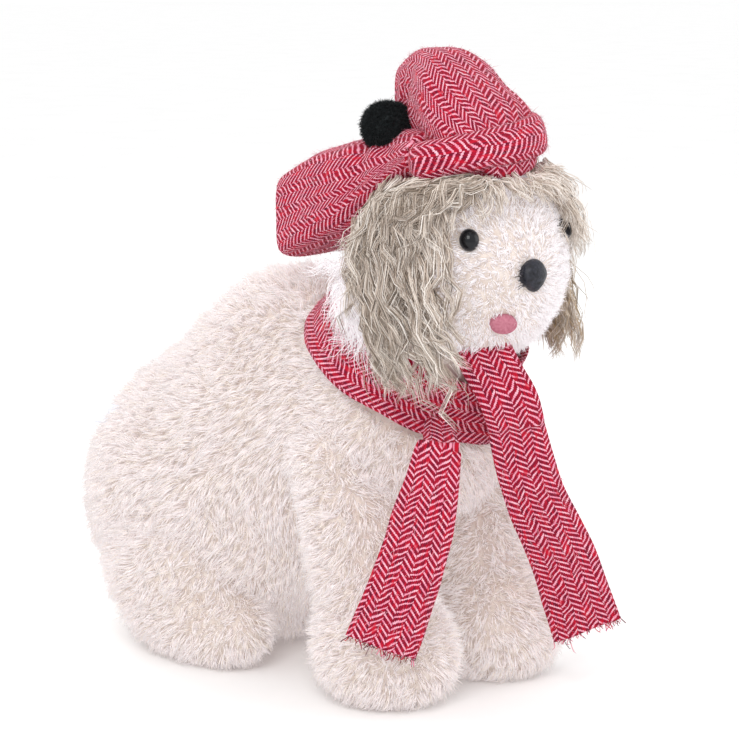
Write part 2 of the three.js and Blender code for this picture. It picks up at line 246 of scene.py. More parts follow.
def normals(points, faces):
    a, b, c = (points[faces[:, k]] for k in range(3))
    face = np.cross(b - a, c - a)
    total = np.zeros_like(points)
    for k in range(3):
        np.add.at(total, faces[:, k], face)
    return unit(total)


def scattered(points, faces, density, rng, keep=None):
    """Random points on a triangle mesh, "density" of them on a square millimetre, and their normals."""
    a, b, c = (points[faces[:, k]] for k in range(3))
    area = np.linalg.norm(np.cross(b - a, c - a), axis=1) / 2
    count = int(area.sum() * density * FULLNESS)
    chosen = rng.choice(len(faces), count, p=area / area.sum())
    u, v = rng.random(count), rng.random(count)
    flip = u + v > 1
    u, v = np.where(flip, 1 - u, u), np.where(flip, 1 - v, v)
    w = np.stack([1 - u - v, u, v], 1)[:, :, None]
    vertex_normals = normals(points, faces)
    place = (points[faces[chosen]] * w).sum(1)
    way = unit((vertex_normals[faces[chosen]] * w).sum(1))
    if keep is not None:
        kept = keep(place, way)
        place, way = place[kept], way[kept]
    return place, way


def tubes(lines, radii, rng):
    """Closed three-sided tapering tubes along lines (count, steps, 3), each ending in a point."""
    count, steps, _ = lines.shape
    rings = steps - 1
    tangent = unit(np.diff(lines, axis=1))
    ref = unit(rng.normal(size=(count, 1, 3)))
    side = unit(np.cross(tangent, ref))
    other = np.cross(tangent, side)
    around = np.arange(3) * 2 * math.pi / 3
    reach = radii[:, :, None, None]
    c, s = np.cos(around)[:, None], np.sin(around)[:, None]
    ring = lines[:, :-1, None] + reach * c * side[:, :, None] + reach * s * other[:, :, None]
    points = np.concatenate([ring.reshape(count, rings * 3, 3), lines[:, -1:]], 1)
    faces = [[0, 2, 1]]
    for r in range(rings - 1):
        for k in range(3):
            a, b = 3 * r + k, 3 * r + (k + 1) % 3
            faces += [[a, b, b + 3], [a, b + 3, a + 3]]
    top = 3 * (rings - 1)
    faces += [[top + k, top + (k + 1) % 3, 3 * rings] for k in range(3)]
    faces = np.array(faces)
    per = 3 * rings + 1
    all_faces = (faces[None] + (np.arange(count) * per)[:, None, None]).reshape(-1, 3)
    return points.reshape(-1, 3), all_faces, len(faces)


def strand_piece(name, lines, radii, materials, body, rng, weights=None):
    """One mesh of many strands, each in one of the materials."""
    lines[..., 2] = np.maximum(lines[..., 2], STRAND_FLOOR)
    points, faces, per = tubes(lines, radii, rng)
    points[:, 2] = np.maximum(points[:, 2], SKIN_FLOOR)
    shade = np.repeat(rng.choice(len(materials), len(lines), p=weights), per)
    return make(name, points, faces, materials, body, shade)


def pile(place, way, rng, length, comb, lean, tuft, gather, width, steps=3, wild=0.16):
    """Strand centre lines that rise from a surface in tufts.

    "tuft" is how many strands meet in a tuft and "gather" how far they draw together. The strands
    lean with the comb, each tuft in its own way too.
    """
    count = len(place)
    heads = rng.choice(count, max(4, int(count / tuft)), replace=False)
    tree = kdtree.KDTree(len(heads))
    for i, p in enumerate(place[heads]):
        tree.insert(p, i)
    tree.balance()
    nearest = np.array([tree.find(p)[1] for p in place])
    comb = unit(comb - (comb * way).sum(1, keepdims=True) * way)
    own = rng.normal(size=(len(heads), 3))[nearest]
    own -= (own * way).sum(1, keepdims=True) * way
    swirl = noise_vector(place, 26, 11)
    swirl -= (swirl * way).sum(1, keepdims=True) * way
    drift = comb * lean + own * lean * 0.55 + swirl * lean * 0.8 + rng.normal(size=(count, 3)) * wild
    tall = (0.8 + 0.4 * rng.random(len(heads)))[nearest] * (0.82 + 0.36 * rng.random(count))
    tall *= length * (1 + 0.16 * noise(place, 19, 5))
    gathered = (place[heads[nearest]] - place) * gather
    t = np.linspace(0, 1, steps)[None, :, None]
    bend = np.linalg.norm(drift, axis=1)[:, None, None]
    lines = place[:, None] + gathered[:, None] * t**1.3 + tall[:, None, None] * (
        way[:, None] * (t - 0.28 * bend * t**2) + drift[:, None] * t**1.7
    )
    taper = np.linspace(1, 0.6, steps - 1)[None]
    radii = width * (0.7 + 0.6 * rng.random((count, 1))) * taper
    return lines, radii


# ---- materials
def principled(name, colour, roughness, **sockets):
    material = bpy.data.materials.new(name)
    material.use_nodes = True
    shader = material.node_tree.nodes["Principled BSDF"]
    shader.inputs["Base Color"].default_value = (*colour, 1)
    shader.inputs["Roughness"].default_value = roughness
    for socket, value in sockets.items():
        shader.inputs[socket.replace("_", " ")].default_value = value
    return material, material.node_tree, shader


def shades(name, colours, roughness=0.75, glow=0.0):
    """One plain material for each shade of strand. The strands together give the colour its grain; the ear
    hair's darkest shade is painted shade.

    The glow stands for light that scatters many times between pale strands.
    """
    made = []
    for k, colour in enumerate(colours):
        material, _, shader = principled(f"{name}_{k}", colour, roughness)
        if glow:
            shader.inputs["Emission Color"].default_value = (*colour, 1)
            shader.inputs["Emission Strength"].default_value = glow
        made.append(material)
    return made


class Nodes:
    """Short ways to add nodes to a material."""

    def __init__(self, tree):
        self.tree = tree

    def add(self, kind, **values):
        node = self.tree.nodes.new(kind)
        for key, value in values.items():
            setattr(node, key, value)
        return node

    def link(self, value, socket):
        if isinstance(value, bpy.types.NodeSocket):
            self.tree.links.new(value, socket)
        else:
            socket.default_value = value

    def math(self, operation, a, b=0.0, c=0.0):
        node = self.add("ShaderNodeMath", operation=operation)
        for k, value in enumerate((a, b, c)):
            self.link(value, node.inputs[k])
        return node.outputs[0]

    def noise(self, vector, scale, detail=2.0, roughness=0.5):
        node = self.add("ShaderNodeTexNoise")
        self.link(vector, node.inputs["Vector"])
        node.inputs["Scale"].default_value = scale
        node.inputs["Detail"].default_value = detail
        node.inputs["Roughness"].default_value = roughness
        return node.outputs["Fac"]

    def ramp(self, value, stops):
        node = self.add("ShaderNodeValToRGB")
        ramp = node.color_ramp
        while len(ramp.elements) < len(stops):
            ramp.elements.new(0.5)
        for element, (at, colour) in zip(ramp.elements, stops):
            element.position = at
            element.color = (*colour, 1)
        self.link(value, node.inputs[0])
        return node.outputs[0]

    def mix(self, factor, a, b):
        node = self.add("ShaderNodeMix", data_type="RGBA")
        self.link(factor, node.inputs["Factor"])
        for value, socket in ((a, node.inputs["A"]), (b, node.inputs["B"])):
            self.link(value if isinstance(value, bpy.types.NodeSocket) else (*value, 1), socket)
        return node.outputs["Result"]

    def bump(self, height, strength, distance):
        node = self.add("ShaderNodeBump")
        self.link(height, node.inputs["Height"])
        node.inputs["Strength"].default_value = strength
        node.inputs["Distance"].default_value = distance
        return node.outputs[0]


def grained(name, low, high, scale, roughness, bump, depth, **sockets):
    """A material whose colour runs between two shades in a noise grain that is also its relief."""
    material, tree, shader = principled(name, low, roughness, **sockets)
    n = Nodes(tree)
    place = n.add("ShaderNodeTexCoord").outputs["Object"]
    grain = n.noise(place, scale, 4.0, 0.6)
    n.link(n.ramp(grain, [(0.3, low), (0.7, high)]), shader.inputs["Base Color"])
    n.link(n.bump(grain, bump, depth), shader.inputs["Normal"])
    return material


CRIMSON = (0.26, 0.0015, 0.02)
MAROON = (0.13, 0.001, 0.018)
SLUB = (0.52, 0.003, 0.022)
PINK = (0.72, 0.23, 0.34)
PALE = (0.86, 0.48, 0.57)
COLUMN = 4.7  # width of one herringbone column
PITCH = 2.8  # one light and one dark stripe
THREAD = 0.62  # width of one thread
SLANT = 0.85  # how far a stripe runs along the cloth for each millimetre across
WANDER = 2.4  # how far the weave drifts from straight


def herringbone():
    """Twill stripes that turn back at every column. The map "cloth" holds millimetres."""
    material, tree, shader = principled(
        "herringbone_wool", CRIMSON, 0.85, Sheen_Weight=0.06, Specular_IOR_Level=0.2
    )
    n = Nodes(tree)

    def plus(a, b):
        return n.math("ADD", a, b)

    def minus(a, b):
        return n.math("SUBTRACT", a, b)

    def times(a, b):
        return n.math("MULTIPLY", a, b)

    cloth = n.add("ShaderNodeUVMap", uv_map="cloth").outputs[0]
    wobble = n.add("ShaderNodeTexNoise")
    n.link(cloth, wobble.inputs["Vector"])
    wobble.inputs["Scale"].default_value = 0.16
    split = n.add("ShaderNodeSeparateXYZ")
    n.link(cloth, split.inputs[0])
    bend = times(minus(wobble.outputs["Fac"], 0.5), WANDER)
    across = plus(split.outputs[0], bend)
    along = plus(split.outputs[1], bend)
    column = n.math("FLOOR", n.math("DIVIDE", across, COLUMN))
    odd = n.math("MODULO", n.math("ABSOLUTE", column), 2.0)
    turn = minus(times(odd, 2.0), 1.0)
    inside = minus(across, times(column, COLUMN))
    stepped = times(n.math("FLOOR", n.math("DIVIDE", inside, THREAD)), THREAD)
    slanted = plus(times(stepped, 0.75), times(inside, 0.25))
    run = plus(along, times(times(slanted, SLANT), turn))
    phase = n.math("FRACT", n.math("DIVIDE", run, PITCH))
    ridge = n.math("ABSOLUTE", minus(phase, 0.5))
    worn = n.noise(cloth, 1.1, 3.0, 0.6)
    edge = plus(ridge, times(minus(worn, 0.5), 0.16))
    light = n.add("ShaderNodeMapRange", interpolation_type="SMOOTHSTEP")
    n.link(edge, light.inputs["Value"])
    light.inputs["From Min"].default_value = 0.305
    light.inputs["From Max"].default_value = 0.385
    long_grain = n.add("ShaderNodeMapping")
    long_grain.inputs["Scale"].default_value = (1.5, 0.12, 1)
    n.link(cloth, long_grain.inputs["Vector"])
    warp = n.noise(long_grain.outputs[0], 1.0, 2.0)
    dark = n.ramp(warp, [(0.36, MAROON), (0.5, CRIMSON), (0.72, SLUB)])
    patch = n.noise(cloth, 0.3, 2.0)
    pale = n.ramp(patch, [(0.35, PINK), (0.7, PALE)])
    colour = n.mix(light.outputs[0], dark, pale)
    slub_grain = n.add("ShaderNodeMapping")
    slub_grain.inputs["Scale"].default_value = (0.5, 0.2, 1)
    n.link(cloth, slub_grain.inputs["Vector"])
    slubs = n.add("ShaderNodeMapRange", interpolation_type="SMOOTHSTEP")
    n.link(n.noise(slub_grain.outputs[0], 0.9, 1.0), slubs.inputs["Value"])
    slubs.inputs["From Min"].default_value = 0.62
    slubs.inputs["From Max"].default_value = 0.7
    n.link(n.mix(times(slubs.outputs[0], 0.75), colour, SLUB), shader.inputs["Base Color"])
    fine = n.noise(cloth, 2.6, 2.0)
    height = plus(times(ridge, 0.9), times(fine, 0.35))
    n.link(n.bump(height, 0.55, 0.0007), shader.inputs["Normal"])
    return material


CLOTH = herringbone()
# The backing is darker and warmer than the pile: painted shade for the gaps between the strands.
PLUSH_SKIN_PAINTED_SHADE = grained("plush_backing_painted_shade", (0.66, 0.56, 0.50), (0.82, 0.75, 0.70), 260, 0.9, 0.8, 0.001)
PLUSH = shades(
    "plush_pile",
    [(0.81, 0.75, 0.745), (0.81, 0.735, 0.73), (0.83, 0.78, 0.79), (0.80, 0.73, 0.675)],
    glow=0.27,
)
PLUSH_MIX = (0.35, 0.27, 0.25, 0.13)
FACE = shades("face_pile", [(0.83, 0.80, 0.82), (0.82, 0.785, 0.805), (0.81, 0.765, 0.78)], glow=0.3)
FACE_MIX = (0.42, 0.36, 0.22)
# Strand shades of the ear hair: its own beige tones, and one dark shade (the fourth) that is painted shade
# between the locks, scattered at random over the strands.
HAIR_AND_PAINTED_SHADE = shades(
    "ear_hair",
    [
        (0.52, 0.43, 0.365),
        (0.36, 0.285, 0.225),
        (0.70, 0.62, 0.55),
        (0.20, 0.155, 0.12),
        (0.86, 0.80, 0.75),
    ],
    roughness=0.5,
    glow=0.09,
)
HAIR_AND_PAINTED_SHADE_MIX = (0.28, 0.18, 0.26, 0.08, 0.20)
TAN = shades(
    "tan_hair", [(0.58, 0.44, 0.28), (0.46, 0.33, 0.20), (0.72, 0.61, 0.46)], roughness=0.55, glow=0.05
)
FAR_HAIR = HAIR_AND_PAINTED_SHADE[:3] + TAN[:2]
FAR_HAIR_MIX = (0.3, 0.15, 0.2, 0.2, 0.15)
BROW_HAIR = HAIR_AND_PAINTED_SHADE[:3] + HAIR_AND_PAINTED_SHADE[4:]
BROW_HAIR_MIX = (0.2, 0.06, 0.36, 0.38)
HIDE = grained("hair_backing", (0.22, 0.18, 0.14), (0.42, 0.36, 0.29), 300, 0.9, 0.8, 0.001)
WOOL_FUZZ = shades("wool_fuzz", [(0.80, 0.30, 0.40), (0.62, 0.03, 0.07), (0.88, 0.58, 0.64)], roughness=0.9)
THREADS = shades("loose_thread", [CRIMSON, PINK, SLUB, (0.80, 0.30, 0.38), MAROON], roughness=0.8)


# ---- cloth tubes
FORWARD, BACKWARD = (0, 1, 2, 3), (0, 3, 2, 1)  # the two ways round a cell


def cell_corners(grid, way_round):
    """The values at the four corners of each cell of a grid."""
    corners = (grid[:-1, :-1], grid[:-1, 1:], grid[1:, 1:], grid[1:, :-1])
    return np.stack([corners[k] for k in way_round], -1)


def closed_rows(rows, around):
    """Point numbers of a grid whose rows close on themselves: the first column comes again last."""
    index = np.arange(rows * around).reshape(rows, around)
    return np.concatenate([index, index[:, :1]], 1)


def distance_along(line):
    return np.concatenate([[0], np.cumsum(np.linalg.norm(np.diff(line, axis=0), axis=1))])


def cloth_tube(name, points, index, faces, across, along):
    """A cloth mesh of rings, closed at both ends, with its map "cloth" at the corners of its cells."""
    obj = make(name, points, faces, CLOTH, None)
    layer = obj.data.uv_layers.new(name="cloth")
    layer.data.foreach_set("uv", np.stack([across, along], -1).astype(np.float32).ravel())
    obj.data.uv_layers.active = layer
    bm = bmesh.new()
    bm.from_mesh(obj.data)
    bm.verts.ensure_lookup_table()
    for ring in (index[0, :-1], index[-1, -2::-1]):
        face = bm.faces.new([bm.verts[i] for i in ring])
        face.smooth = True
    bmesh.ops.recalc_face_normals(bm, faces=bm.faces)
    bm.to_mesh(obj.data)
    bm.free()
    return obj


# ---- lofted cloth
CAP_ROWS = 8  # rings that round off each end
FLAT_ROWS = 7  # rows of cells at each end where the weave runs straight over


def cap_rows(ring, way, depth):
    """Rings that shrink to a small flat end."""
    rows = []
    angles = np.linspace(0, math.pi / 2, CAP_ROWS + 1)[1:]
    for angle in angles:
        row = ring.copy()
        row[:3] += way * depth * math.sin(angle)
        row[3:6] *= max(math.cos(angle), 0.0) ** 0.5 if angle < angles[-1] else 0.02
        rows.append(row)
    return rows


def loft(name, rings, body, around=96, steps=80, cap=(4.0, 4.0), ripple=None, across_at=0.0):
    """A closed cloth form through upright rings across the dog.

    A ring is (x, y, z, half width, height above, height below, squareness). The cloth's columns run
    from ring to ring.
    """
    ring = catmull(np.array(rings, float), np.linspace(0, 1, steps))
    ways = unit(np.gradient(ring[:, :3], axis=0))
    before = cap_rows(ring[0], -ways[0], cap[0])[::-1]
    rows = np.array(before + list(ring) + cap_rows(ring[-1], ways[-1], cap[1]))
    theta = np.linspace(0, 2 * math.pi, around + 1)[:-1] - math.pi / 2
    c, s = np.cos(theta), np.sin(theta)
    power = (2 / rows[:, 6])[:, None]
    x = signed_power(c, power) * rows[:, 3:4]
    z = signed_power(s, power) * np.where(s > 0, rows[:, 4:5], rows[:, 5:6])
    points = np.stack([rows[:, :1] + x, np.repeat(rows[:, 1:2], around, 1), rows[:, 2:3] + z], -1)
    count = len(rows)
    index = closed_rows(count, around)
    faces = cell_corners(index, BACKWARD).reshape(-1, 4)
    flat = points.reshape(-1, 3)
    if ripple is not None:
        triangles = np.concatenate([faces[:, [0, 1, 2]], faces[:, [0, 2, 3]]])
        rippled = flat + normals(flat, triangles) * ripple(flat)[:, None]
    else:
        rippled = flat
    loop = np.linalg.norm(np.diff(np.concatenate([points, points[:, :1]], 1), axis=1), axis=2)
    widest = np.argmax(loop.sum(1))
    arc = np.concatenate([[0], np.cumsum(loop[widest])]) + across_at
    along = distance_along(points[:, around // 2])
    grid_u = np.broadcast_to(arc[None], index.shape)
    grid_v = np.broadcast_to(along[:, None], index.shape)
    corners = flat[faces].reshape(count - 1, around, 4, 3)
    over_end = np.zeros((count - 1, 1, 1), bool)
    over_end[-FLAT_ROWS:] = over_end[:FLAT_ROWS] = True
    cells_u = np.where(over_end, corners[..., 0] + 90, cell_corners(grid_u, BACKWARD))
    cells_v = np.where(over_end, corners[..., 2], cell_corners(grid_v, BACKWARD))
    obj = cloth_tube(name, HEAD + rippled, index, faces, cells_u, cells_v)
    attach(obj, body)
    return obj


# ---- beret
REAR_LOBE = [
    (0, 2, 47, 33, 13, 11, 2.4),
    (0, 22, 38, 35, 24, 14, 2.8),
    (0, 41, 29, 36, 27, 17, 3.4),
    (0, 57, 24, 36.5, 25, 18, 4.2),
    (0, 71, 19.5, 36.5, 23, 19, 5),
    (0, 83, 15, 36, 20, 19, 6),
]
FRONT_LOBE = [
    (3, 36, 73, 9, 12, 12, 3),
    (2, 23, 74, 14, 18.5, 19, 2.5),
    (0, 6, 70, 22, 22.5, 22, 2.2),
    (-1, -8, 62, 26, 21, 20, 2.2),
    (0, -20, 55, 26, 16, 16, 2.4),
    (-1, -28, 51, 20, 11, 11, 2.6),
]
BRIM = [
    (-27, 3, 44), (-31, -12, 47), (-19, -27, 51), (3, -31, 54), (19, -26, 56), (27, -12, 56), (27, 4, 50)
]
POM = centre("pom_pom") + (-7.2, -14.2, 0.4)
POM_R = size("pom_pom")[0] / 2


def pinch(p):
    """How much a point is drawn in, and its wrinkles, near the stitch that holds the pom-pom."""
    root = POM - HEAD + (3, 3, -12)
    offset = p - root
    reach = np.linalg.norm(offset, axis=1)
    angle = np.arctan2(offset[:, 0], offset[:, 1])
    rays = np.cos(angle * 7 + 2 * noise(p, 20, 3))
    near = np.exp(-((reach / 26) ** 2))
    return -9.0 * np.exp(-((reach / 16) ** 2)) + near * rays * 1.6


def lobe_ripple(p):
    return pinch(p) + noise(p, 16, 41) * 1.0 + noise(p, 7, 43) * 0.3


def brim_cloth():
    """The rolled lower edge of the crown, in front."""
    rings = 90
    t = np.linspace(0, 1, rings)
    line = catmull(BRIM, t)
    way = unit(np.gradient(line, axis=0))
    upright = np.array([0.0, 0.25, 1.0])
    up = unit(upright - (way @ upright)[:, None] * way)
    out = np.cross(way, up)
    around = 40
    theta = np.linspace(0, 2 * math.pi, around + 1)[:-1] + math.pi
    from_end = smooth(np.minimum(t, 1 - t) * 7)
    tall = 8.6 * (0.45 + 0.55 * from_end)
    thick = 5.4 * (0.4 + 0.6 * from_end)
    c, s = signed_power(np.cos(theta), 0.8), signed_power(np.sin(theta), 0.8)
    points = beside(line[:, None], out[:, None], thick[:, None] * c, up[:, None], tall[:, None] * s)
    flat = points.reshape(-1, 3)
    flat = flat + noise_vector(flat, 12, 77) * 0.8
    index = closed_rows(rings, around)
    faces = cell_corners(index, FORWARD).reshape(-1, 4)
    arc = np.linspace(0, 2 * math.pi * 7.3, around + 1)
    u = cell_corners(np.broadcast_to(arc[None], index.shape), FORWARD)
    v = cell_corners(np.broadcast_to(distance_along(line)[:, None], index.shape), FORWARD)
    obj = cloth_tube("beret_brim", HEAD + flat, index, faces, u, v)
    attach(obj, "head")
    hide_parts("beret_band")
    return obj


def fuzz(name, obj, body, rng, keep=None):
    """Short stray wool fibres on a cloth piece."""
    mesh = obj.data
    mesh.calc_loop_triangles()
    points = np.array([v.co for v in mesh.vertices], float) / MM
    faces = np.array([t.vertices for t in mesh.loop_triangles])
    place, way = scattered(points, faces, 0.2, rng, keep)
    lines, radii = pile(place, way, rng, 1.3, np.array([0, 0, -1.0]), 0.9, 3, 0.0, 0.075, wild=0.8)
    strand_piece(name, lines, radii, WOOL_FUZZ, body, rng)


def beret(rng):
    rear = loft("beret_rear", REAR_LOBE, "head", cap=(6.0, 2.5), ripple=lobe_ripple)
    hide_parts("beret_crown", "beret_wadding")
    front = loft("beret_front", FRONT_LOBE, "head", cap=(3.0, 6.5), ripple=lobe_ripple, across_at=2.0)
    fuzz("beret_rear_fuzz", rear, "head", rng)
    fuzz("beret_front_fuzz", front, "head", rng)
    fuzz("beret_brim_fuzz", brim_cloth(), "head", rng)


# ---- scarf
def strip(name, path, across, width, thick, body, steps, cup=0.0, wave=0.0, seed=0):
    """A strip of cloth along a path. Its width lies along "across", and "cup" bows it outwards."""
    t = np.linspace(0, 1, steps)
    line = catmull(path, t)
    way = unit(np.gradient(line, axis=0))
    side = catmull(across, t)
    side = unit(side - (side * way).sum(1, keepdims=True) * way)
    out = np.cross(way, side)
    wide = np.interp(t, np.linspace(0, 1, len(width)), width)
    cells = 22
    edge = np.linspace(-1, 1, cells + 1)
    bow = cup * (1 - edge**2)[None] * np.ones((steps, 1))
    length = distance_along(line)
    ribs = wave * np.sin(edge[None] * 3.3 + length[:, None] * 0.045 + seed)
    from_middle = edge[None] * wide[:, None] / 2
    middle = beside(line[:, None], side[:, None], from_middle, out[:, None], bow + ribs)
    flat = middle.reshape(-1, 3)
    middle = (flat + noise_vector(flat, 14, 100 + seed) * 0.7).reshape(middle.shape)
    half = thick / 2 * (1 - 0.75 * np.abs(edge) ** 8)
    front = middle + out[:, None] * half[None, :, None]
    back = middle - out[:, None] * half[None, :, None]
    ring = np.concatenate([front, back[:, ::-1]], 1)
    u_edge = from_middle + 60.0
    u = np.concatenate([u_edge, u_edge[:, ::-1], u_edge[:, :1]], 1)
    v = np.broadcast_to(length[:, None], u.shape)
    index = closed_rows(steps, ring.shape[1])
    faces = cell_corners(index, FORWARD).reshape(-1, 4)
    cell_u, cell_v = cell_corners(u, FORWARD), cell_corners(v, FORWARD)
    obj = cloth_tube(name, ring.reshape(-1, 3), index, faces, cell_u, cell_v)
    if body:
        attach(obj, body)
    return obj, middle, way, float(length[-1])


NECK_FRONT = unit(np.cross([1.0, 0, 0], NECK_AXIS))
if NECK_FRONT[1] > 0:
    NECK_FRONT = -NECK_FRONT


def round_neck(angle, radius, height):
    """A point round the neck. Angle 0 is in front, and 90 is on the dog's right side."""
    a = np.radians(angle)
    return (
        HEAD
        + np.multiply.outer(height, NECK_AXIS)
        + np.multiply.outer(radius * np.cos(a), NECK_FRONT)
        - np.multiply.outer(radius * np.sin(a), [1.0, 0, 0])
    )


def scarf_loop(rng):
    angle = np.linspace(14, -368, 44)
    near_front = smooth((angle + 368) / 75)
    tucked = smooth((angle + 40) / 50)
    radius = 47.5 + 7.0 * (1 - near_front) - 1.5 * tucked + 0.6 * np.sin(angle / 17)
    height = -43.5 + 1.2 * np.sin(angle / 31) - 3.0 * (1 - near_front)
    path = round_neck(angle, radius, height)
    flare = np.radians(14 + 8 * np.sin(angle / 57))
    outward = path - HEAD - np.multiply.outer((path - HEAD) @ NECK_AXIS, NECK_AXIS)
    across = NECK_AXIS * np.cos(flare)[:, None] - unit(outward) * np.sin(flare)[:, None]
    width = [29, 30, 30, 29, 27]
    obj, _, _, length = strip(
        "scarf_round_neck", path, across, width, 2.4, "torso", 260, cup=-2.6, wave=0.5
    )
    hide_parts("scarf_loop")
    fuzz("scarf_round_fuzz", obj, "torso", rng)


def frayed_end(tag, middle, way, body, rng):
    """Loose threads along the raw end of a scarf tail."""
    edge = middle[-1]
    down = way[-1]
    count = 74
    share = np.sort(rng.random(count)) * (len(edge) - 1)
    i = np.minimum(share.astype(int), len(edge) - 2)
    roots = edge[i] + (share - i)[:, None] * (edge[i + 1] - edge[i]) - down * 1.0
    long = rng.gamma(3.0, 1.0, count) * 0.6 + 1.3
    t = np.linspace(0, 1, 7)[None, :, None]
    drift = rng.normal(size=(count, 1, 3)) * 0.34
    curl = rng.normal(size=(count, 1, 3)) * 0.28
    lines = roots[:, None] + long[:, None, None] * (down * t + drift * t**2 + curl * np.sin(t * 5 + 1) * t)
    radii = np.full((count, 6), 0.24) * (0.7 + 0.6 * rng.random((count, 1)))
    return strand_piece(f"scarf_fringe_{tag}", lines, radii, THREADS, body, rng)


def scarf_tails(rng):
    tails = {
        "L": {
            "top": [(-13, -25, -33), (-12, -31, -42), (-10, -39, -54), (-5, -39.5, -66)],
            "hang": [(-1.4, -37.9, -73.4), (8, -39, -100), (24, -42, -132), (37, -45, -166)],
            "across": [(0.86, -0.5, 0.1), (0.86, -0.5, 0.1), (0.8, -0.54, 0.22), (0.75, -0.58, 0.34)],
            "width": [25, 25, 25, 28, 32],
            "seed": 3,
        },
        "R": {
            "top": [(-29, -17, -65), (-33, -21, -69), (-36.5, -25.5, -71.5), (-39.5, -28.5, -73.5)],
            "hang": [(-41.6, -29.6, -75.4), (-49, -30, -100), (-58, -27, -130), (-66, -20, -159)],
            "across": [(0.8, -0.6, 0.05), (0.8, -0.6, 0.05), (0.76, -0.63, 0.14), (0.72, -0.66, 0.22)],
            "width": [12, 14, 17, 28, 32],
            "seed": 8,
        },
    }
    for tag, cut in tails.items():
        path = HEAD + np.array(cut["top"] + cut["hang"], float)
        across = np.array([cut["across"][0]] * 4 + cut["across"], float)
        name = f"scarf_end_{tag}"
        obj, middle, way, length = strip(
            name, path, across, cut["width"], 1.9, None, 170, cup=0.8, wave=0.5, seed=cut["seed"]
        )
        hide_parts(f"scarf_fold_{tag}", f"scarf_tail_{tag}")
        pivot = hinge(f"scarf_{tag}_swing")
        along_tail = unit(path[5] - path[4])
        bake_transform(obj)
        threads = frayed_end(tag, middle, way, name, rng)
        hanging = pivot[2] - 14
        fuzz(f"scarf_fuzz_{tag}", obj, name, rng, lambda place, _: place[:, 2] < hanging)


# ---- round trimmings
def turned(name, profile, base, axis, material, node, stretch, side=(0, 0, 1), segments=40):
    """A closed form on the head, turned about an axis that its (radius, height) pairs start and end on."""
    axis = unit(axis)
    up = unit(np.array(side, float) - (axis @ side) * axis)
    across = np.cross(axis, up)
    theta = np.linspace(0, 2 * math.pi, segments, endpoint=False)
    rows = [
        base
        + axis * height
        + across * (radius * stretch[0] * np.cos(theta))[:, None]
        + up * (radius * stretch[1] * np.sin(theta))[:, None]
        for radius, height in profile[1:-1]
    ]
    points = np.concatenate(rows + [[base + axis * profile[0][1]], [base + axis * profile[-1][1]]])
    index = np.arange(len(rows) * segments).reshape(-1, segments)
    nxt = np.roll(index, -1, axis=1)
    faces = []
    for r in range(len(rows) - 1):
        for a, b, c, d in zip(index[r], nxt[r], nxt[r + 1], index[r + 1]):
            faces += [(a, b, c), (a, c, d)]
    low, high = len(points) - 2, len(points) - 1
    faces += [(low, b, a) for a, b in zip(index[0], nxt[0])]
    faces += [(high, a, b) for a, b in zip(index[-1], nxt[-1])]
    return make(name, points, faces, material, "head", hides=[node])


def face_direction(x, y, z):
    return unit(np.array([x, y, z], float))


HEAD_FIELD = blended(10, egg(HEAD, [HEAD_R] * 3), egg(from_head(0, -30.5, -4), [18, 14, 13]))


def on_face(way, lift=0.0):
    """The point of the face in a direction from the head's centre."""
    reach = np.arange(20.0, 80.0, 0.05)
    value = HEAD_FIELD(HEAD + reach[:, None] * way)
    return HEAD + way * reach[np.argmax(value > lift)]


EYE_WAYS = {tag: face_direction(side * 29, -35, 15) for tag, side in SIDES}
NOSE_WAY = face_direction(-4.5, -46, -1)
TONGUE_WAY = face_direction(-11, -35, -20)
EYE_R = 4.5


def eyes():
    low, high = (0.003, 0.003, 0.004), (0.008, 0.008, 0.012)
    bead_grain = grained("bead_black", low, high, 90, 0.09, 0.03, 0.0001, Specular_IOR_Level=0.32)
    for tag, way in EYE_WAYS.items():
        dome = [
            (EYE_R * math.cos(a), 2.0 + EYE_R * math.sin(a) * 0.9) for a in np.linspace(-1.1, 1.45, 14)
        ]
        profile = [(0, -1.0)] + dome + [(0, 2.0 + EYE_R * 0.9)]
        name, node = f"eye_bead_{tag}", f"eye_{tag}"
        turned(name, profile, on_face(way), way, bead_grain, node, stretch=(0.95, 1.08))


def nose_and_fibres(rng):
    low, high = (0.004, 0.004, 0.006), (0.03, 0.032, 0.045)
    flock = grained("nose_flock", low, high, 700, 0.38, 0.6, 0.0005, Specular_IOR_Level=0.3)
    base = on_face(NOSE_WAY)
    rim = [(0, -1.5), (5.0, -1.0), (6.4, 1.0), (6.7, 2.6)]
    dome = [(6.2, 4.2), (5.0, 5.5), (3.0, 6.4), (1.2, 6.8), (0, 6.9)]
    nose = turned("nose_button", rim + dome, base, NOSE_WAY, flock, "nose", stretch=(1.0, 1.05))
    points = np.array([v.co for v in nose.data.vertices]) / MM
    offset = points - base
    lower = np.clip(-offset[:, 2] / 7, 0, 1)
    points[:, 0] -= offset[:, 0] * lower * 0.45
    points += noise_vector(points, 3.5, 9) * 0.35
    nose.data.vertices.foreach_set("co", (points * MM).astype(np.float32).ravel())
    count = 30
    beside = -5.4 + rng.random(count) * 1.6
    above = rng.uniform(-4.5, 4.5, count)
    roots = base + NOSE_WAY * 2.2 + np.stack([beside, np.zeros(count), above], 1)
    t = np.linspace(0, 1, 5)[None, :, None]
    drift = np.array([-1.0, -0.12, 0.05]) + rng.normal(size=(count, 3)) * 0.22
    long = rng.uniform(2.0, 5.5, (count, 1, 1))
    lines = roots[:, None] + drift[:, None] * t * long + np.array([0, 0, -0.8]) * t**2
    black = shades("nose_fibre", [(0.015, 0.014, 0.02), (0.05, 0.045, 0.06)], roughness=0.6)
    strand_piece("nose_fibres", lines, np.full((count, 4), 0.16), black, "head", rng)


